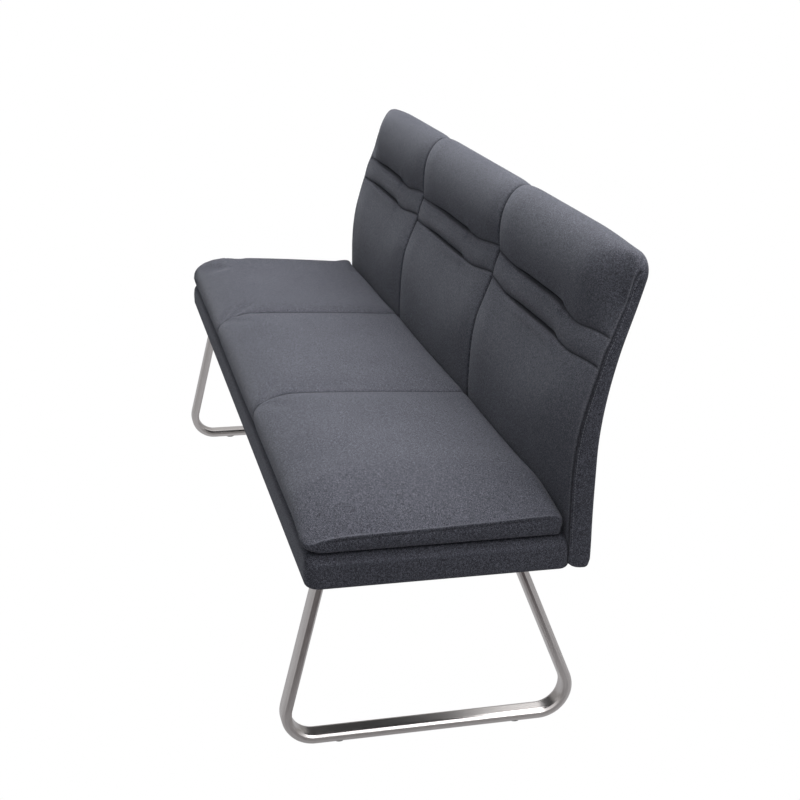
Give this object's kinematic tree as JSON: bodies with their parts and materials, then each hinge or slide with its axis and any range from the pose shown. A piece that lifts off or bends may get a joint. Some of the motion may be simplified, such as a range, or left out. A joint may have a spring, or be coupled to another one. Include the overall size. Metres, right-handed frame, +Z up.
{
  "type": "upholstered dining bench",
  "caption": "Long upholstered dining bench with a tall three-panel tucked back, a loose-look sewn seat pad and trapezoid flat-oval stainless skids.",
  "frame": {"origin": "centre of the bench's bounding box in plan, on the floor", "axes": "+X along the bench, to the left of someone seated on it; -Y is the sitter's side, +Y the back; +Z up"},
  "size_m": [1.8, 0.5996, 0.935],
  "materials": {
    "upholstery_fabric": "matt woven melange",
    "stainless_tube": "brushed",
    "zinc_steel": "zinc plated",
    "glide_plastic": "matt",
    "frame_wood": "planed",
    "plywood": "sanded",
    "foam": "open cell",
    "underlining": "non-woven",
    "webbing": "woven"
  },
  "bodies": {
    "root": {"back_band_left": "upholstery_fabric", "back_band_right": "upholstery_fabric", "back_board": "plywood", "back_bracket_left": "zinc_steel", "back_bracket_middle": "zinc_steel", "back_bracket_right": "zinc_steel", "back_foam": "foam", "back_front_cover": "upholstery_fabric", "back_rear_cover": "upholstery_fabric", "back_screws": "zinc_steel", "back_wadding": "foam", "board_insert_nuts": "zinc_steel", "bolt_plate_front_left": "stainless_tube", "bolt_plate_front_right": "stainless_tube", "bolt_plate_rear_left": "stainless_tube", "bolt_plate_rear_right": "stainless_tube", "bracket_bolts": "zinc_steel", "bracket_insert_nuts": "zinc_steel", "bracket_slat_left": "frame_wood", "bracket_slat_middle": "frame_wood", "bracket_slat_right": "frame_wood", "corner_blocks": "frame_wood", "dust_cover": "underlining", "floor_glide_front_left": "glide_plastic", "floor_glide_front_right": "glide_plastic", "floor_glide_rear_left": "glide_plastic", "floor_glide_rear_right": "glide_plastic", "pad_cover": "upholstery_fabric", "pad_foam": "foam", "pad_underside": "underlining", "seat_cover": "upholstery_fabric", "seat_foam": "foam", "seat_rail_front": "frame_wood", "seat_rail_left": "frame_wood", "seat_rail_rear": "frame_wood", "seat_rail_right": "frame_wood", "seat_straps_cross": "webbing", "seat_straps_long": "webbing", "skid_bolts": "zinc_steel", "skid_insert_nuts": "zinc_steel", "skid_slat_left": "frame_wood", "skid_slat_right": "frame_wood", "skid_tube_left": "stainless_tube", "skid_tube_right": "stainless_tube"}
  },
  "joints": []
}
